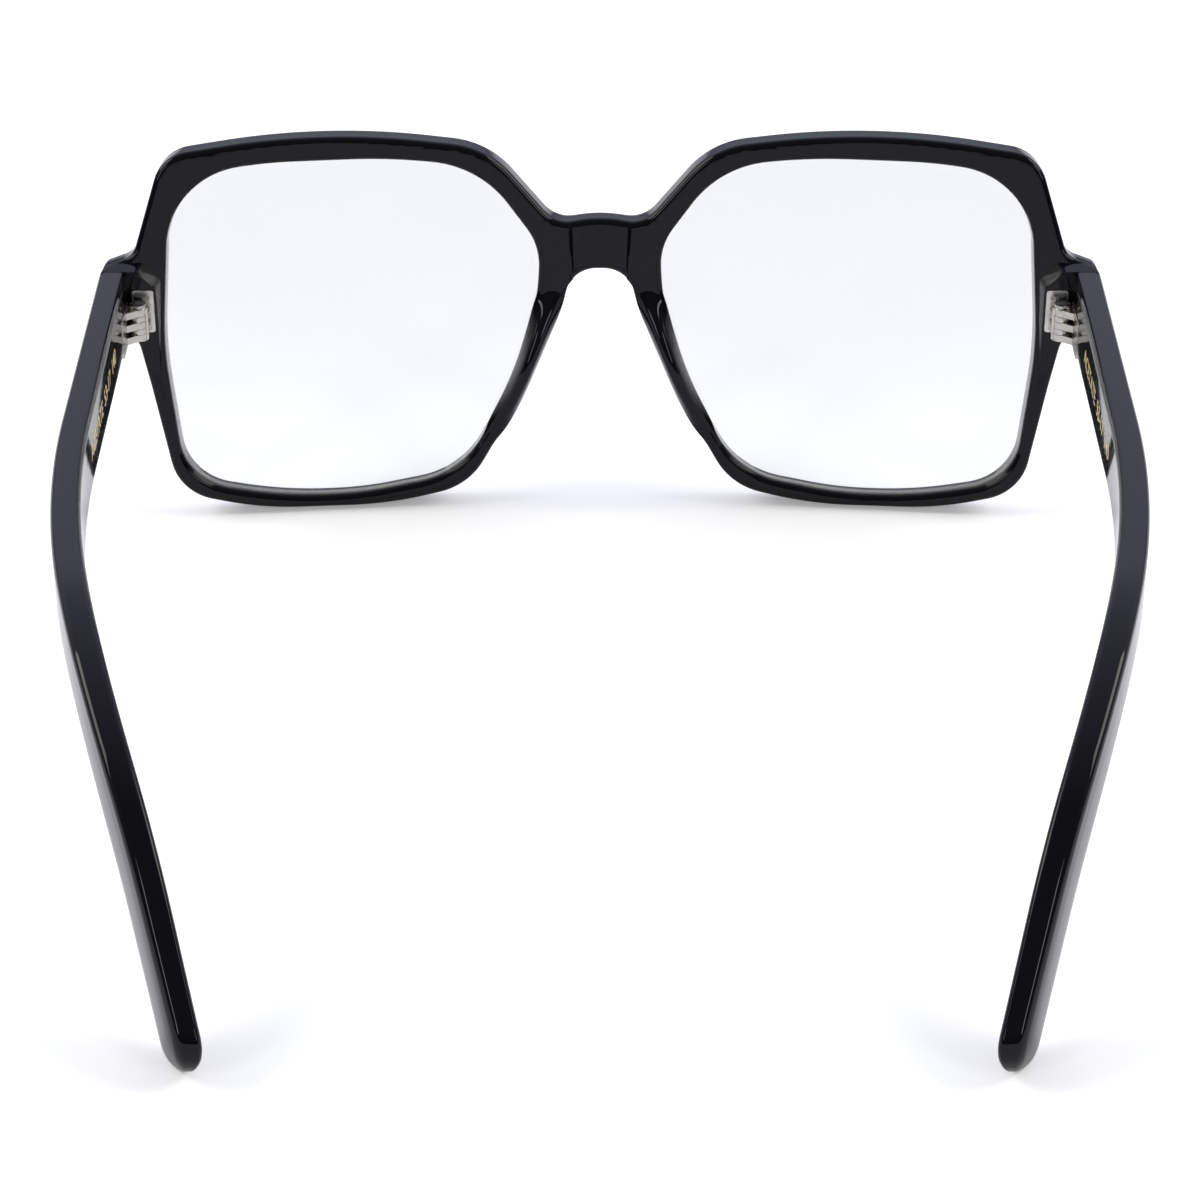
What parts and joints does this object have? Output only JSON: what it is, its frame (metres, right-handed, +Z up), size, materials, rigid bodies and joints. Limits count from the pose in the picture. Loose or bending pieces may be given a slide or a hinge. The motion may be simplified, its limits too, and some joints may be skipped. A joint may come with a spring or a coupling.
{
  "type": "square eyeglasses",
  "caption": "Square full-rim black acetate eyeglasses with clear lenses, nose pads on the rims and bowed temples that fold on screwed barrel hinges.",
  "frame": {"origin": "on the table, at the middle of the bounding box of the open eyeglasses, in their plane of symmetry", "axes": "+X to the wearer's left, +Y rearward from the lenses along the temples, +Z up; the front of the lenses looks along -Y"},
  "size_m": [0.1394, 0.147, 0.0543],
  "materials": {
    "acetate": "polished black acetate",
    "lens": "clear, uncoated",
    "hinge_metal": "bright nickel silver",
    "screw_metal": "bright stainless steel",
    "core_metal": "drawn wire"
  },
  "bodies": {
    "front": {"front_frame": "acetate", "nose_pad_left": "acetate", "nose_pad_right": "acetate", "lens_left": "lens", "lens_right": "lens", "frame_hinge_leaf_left": "hinge_metal", "frame_hinge_leaf_right": "hinge_metal"},
    "temple_arm_left": {"temple_left": "acetate", "temple_hinge_leaf_left": "hinge_metal", "hinge_screw_left": "screw_metal", "core_wire_left": "core_metal"},
    "temple_arm_right": {"temple_right": "acetate", "temple_hinge_leaf_right": "hinge_metal", "hinge_screw_right": "screw_metal", "core_wire_right": "core_metal"}
  },
  "joints": [
    {"name": "hinge_left", "type": "hinge", "parent": "front", "child": "temple_arm_left", "pos_m": [0.06436, -0.05842, 0.03084], "axis": [0, 0, 1], "range_deg": [0, 81.5]},
    {"name": "hinge_right", "type": "hinge", "parent": "front", "child": "temple_arm_right", "pos_m": [-0.06436, -0.05842, 0.03084], "axis": [0, 0, -1], "range_deg": [0, 68.5]}
  ]
}
